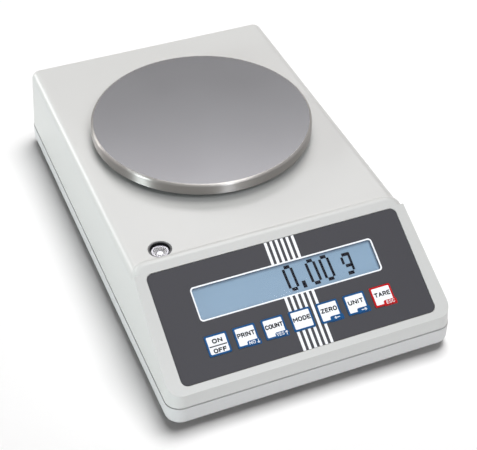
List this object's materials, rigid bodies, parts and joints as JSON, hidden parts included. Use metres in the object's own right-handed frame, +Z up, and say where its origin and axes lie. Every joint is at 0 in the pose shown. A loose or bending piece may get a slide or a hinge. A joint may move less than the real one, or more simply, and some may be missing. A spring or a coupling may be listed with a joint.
{
  "type": "precision balance",
  "caption": "Low bench balance with a round raised weighing pan, sloping keypad with a wide display, spirit level and levelling feet.",
  "frame": {"origin": "centre of the footprint at table height, midway between the left and right sides and midway between the front and rear of the base rim", "axes": "+X to the user's right, +Y to the rear, +Z up; the keypad faces the user at -Y"},
  "size_m": [0.1878, 0.3117, 0.0755],
  "materials": {
    "shell_base": "fine satin light grey enamel",
    "shell_top": "fine-grained warm light grey plastic",
    "pan_steel": "matt rolled stainless steel, polished rim",
    "ring_steel": "plain stainless steel",
    "cast_alloy": "as-cast aluminium",
    "milled_alloy": "milled aluminium",
    "cell_alloy": "anodised aluminium",
    "strap_steel": "stainless strap",
    "cover_plastic": "dark grey plastic",
    "gauge_foil": "amber foil",
    "wire_skin": "red insulation",
    "ribbon_grey": "grey flat cable",
    "plug_cream": "cream nylon",
    "chip_black": "moulded components",
    "tin_plate": "tinned sheet",
    "port_shell": "nickel-plated shell on a black moulding",
    "gold_pins": "gold-plated pins",
    "jack_black": "black moulding",
    "pin_nickel": "nickel-plated pin",
    "frame_white": "white moulding",
    "display_blue": "blue-grey reflective display glass",
    "segment_ink": "dark segments",
    "clear_lens": "clear film lens",
    "sheet_grey": "dark grey printed polyester",
    "circuit_film": "laminated film",
    "dome_steel": "spring steel domes",
    "cup_black": "black moulding",
    "vial_clear": "clear acrylic",
    "bubble_air": "air bubble",
    "steel_screws": "zinc-plated screws",
    "black_screws": "blackened steel screws",
    "brass_parts": "turned brass",
    "board_green": "green solder mask",
    "pad_rubber": "black rubber",
    "wheel_plastic": "black moulded wheel on a steel stud",
    "key_white": "white key face with a blue border",
    "key_red": "white key face with a red border"
  },
  "bodies": {
    "housing": {"base_tray": "shell_base", "top_housing": "shell_top", "housing_screws": "steel_screws", "load_cell": "cell_alloy", "cell_screws": "black_screws", "strain_gauges": "gauge_foil", "overload_stops": "steel_screws", "stop_nuts": "brass_parts", "cover_screw": "steel_screws", "main_board": "board_green", "board_screws": "steel_screws", "board_parts": "chip_black", "signal_shield": "tin_plate", "serial_port": "port_shell", "serial_pins": "gold_pins", "jackscrews": "steel_screws", "power_jack": "jack_black", "jack_pin": "pin_nickel", "cable_plugs": "plug_cream", "cell_wires": "wire_skin", "ribbon_cable": "ribbon_grey", "display_board": "board_green", "display_screws": "steel_screws", "lcd_frame": "frame_white", "lcd_glass": "display_blue", "lcd_segments": "segment_ink", "display_window": "clear_lens", "keypad_sheet": "sheet_grey", "keypad_circuit": "circuit_film", "key_domes": "dome_steel", "level_cup": "cup_black", "level_vial": "vial_clear", "level_bubble": "bubble_air", "foot_nuts": "brass_parts"},
    "carrier": {"carrier_bridge": "milled_alloy", "bridge_screws": "black_screws", "hook_stirrup": "strap_steel", "stirrup_screws": "steel_screws", "pan_spider": "cast_alloy", "spider_screw": "steel_screws", "pan_buffers": "pad_rubber"},
    "pan": {"weighing_pan": "pan_steel", "locating_ring": "ring_steel"},
    "cover": {"hook_cover": "cover_plastic"},
    "key_body_1": {"key_1": "key_white"},
    "key_body_2": {"key_2": "key_white"},
    "key_body_3": {"key_3": "key_white"},
    "key_body_4": {"key_4": "key_white"},
    "key_body_5": {"key_5": "key_white"},
    "key_body_6": {"key_6": "key_white"},
    "key_body_7": {"key_7": "key_red"},
    "pad_1": {"foot_pad_1": "pad_rubber"},
    "wheel_1": {"foot_screw_1": "wheel_plastic"},
    "pad_2": {"foot_pad_2": "pad_rubber"},
    "wheel_2": {"foot_screw_2": "wheel_plastic"},
    "pad_3": {"foot_pad_3": "pad_rubber"},
    "wheel_3": {"foot_screw_3": "wheel_plastic"},
    "pad_4": {"foot_pad_4": "pad_rubber"},
    "wheel_4": {"foot_screw_4": "wheel_plastic"}
  },
  "joints": [
    {"name": "carrier_travel", "type": "slide", "parent": "housing", "child": "carrier", "axis": [0, 0, 1], "range_m": [-0.0002, 0], "stiffness_N_per_m": 40000, "springref_m": 0.0002},
    {"name": "pan_lift", "type": "slide", "parent": "carrier", "child": "pan", "axis": [0, 0, 1], "range_m": [0, 0.04]},
    {"name": "cover_swing", "type": "hinge", "parent": "housing", "child": "cover", "pos_m": [0, 0.1053, 0.0042], "axis": [0, 0, 1], "range_deg": [0, 110]},
    {"name": "key_press_1", "type": "slide", "parent": "housing", "child": "key_body_1", "axis": [0, -0.4818, 0.8763], "range_m": [-0.0003, 0], "stiffness_N_per_m": 1000, "springref_m": 0.0008},
    {"name": "key_press_2", "type": "slide", "parent": "housing", "child": "key_body_2", "axis": [0, -0.4818, 0.8763], "range_m": [-0.0003, 0], "stiffness_N_per_m": 1000, "springref_m": 0.0008},
    {"name": "key_press_3", "type": "slide", "parent": "housing", "child": "key_body_3", "axis": [0, -0.4818, 0.8763], "range_m": [-0.0003, 0], "stiffness_N_per_m": 1000, "springref_m": 0.0008},
    {"name": "key_press_4", "type": "slide", "parent": "housing", "child": "key_body_4", "axis": [0, -0.4818, 0.8763], "range_m": [-0.0003, 0], "stiffness_N_per_m": 1000, "springref_m": 0.0008},
    {"name": "key_press_5", "type": "slide", "parent": "housing", "child": "key_body_5", "axis": [0, -0.4818, 0.8763], "range_m": [-0.0003, 0], "stiffness_N_per_m": 1000, "springref_m": 0.0008},
    {"name": "key_press_6", "type": "slide", "parent": "housing", "child": "key_body_6", "axis": [0, -0.4818, 0.8763], "range_m": [-0.0003, 0], "stiffness_N_per_m": 1000, "springref_m": 0.0008},
    {"name": "key_press_7", "type": "slide", "parent": "housing", "child": "key_body_7", "axis": [0, -0.4818, 0.8763], "range_m": [-0.0003, 0], "stiffness_N_per_m": 1000, "springref_m": 0.0008},
    {"name": "foot_drop_1", "type": "slide", "parent": "housing", "child": "pad_1", "axis": [0, 0, -1], "range_m": [0, 0.005]},
    {"name": "foot_turn_1", "type": "hinge", "parent": "pad_1", "child": "wheel_1", "pos_m": [-0.07, -0.118, 0.005], "axis": [0, 0, -1], "range_deg": [0, 1801]},
    {"name": "foot_drop_2", "type": "slide", "parent": "housing", "child": "pad_2", "axis": [0, 0, -1], "range_m": [0, 0.005]},
    {"name": "foot_turn_2", "type": "hinge", "parent": "pad_2", "child": "wheel_2", "pos_m": [0.07, -0.118, 0.005], "axis": [0, 0, -1], "range_deg": [0, 1801]},
    {"name": "foot_drop_3", "type": "slide", "parent": "housing", "child": "pad_3", "axis": [0, 0, -1], "range_m": [0, 0.005]},
    {"name": "foot_turn_3", "type": "hinge", "parent": "pad_3", "child": "wheel_3", "pos_m": [-0.07, 0.118, 0.005], "axis": [0, 0, -1], "range_deg": [0, 1801]},
    {"name": "foot_drop_4", "type": "slide", "parent": "housing", "child": "pad_4", "axis": [0, 0, -1], "range_m": [0, 0.005]},
    {"name": "foot_turn_4", "type": "hinge", "parent": "pad_4", "child": "wheel_4", "pos_m": [0.07, 0.118, 0.005], "axis": [0, 0, -1], "range_deg": [0, 1801]}
  ],
  "couplings": [
    {"joint": "foot_turn_1", "follows": "foot_drop_1", "rad_per_m": 6283.2},
    {"joint": "foot_turn_2", "follows": "foot_drop_2", "rad_per_m": 6283.2},
    {"joint": "foot_turn_3", "follows": "foot_drop_3", "rad_per_m": 6283.2},
    {"joint": "foot_turn_4", "follows": "foot_drop_4", "rad_per_m": 6283.2}
  ]
}
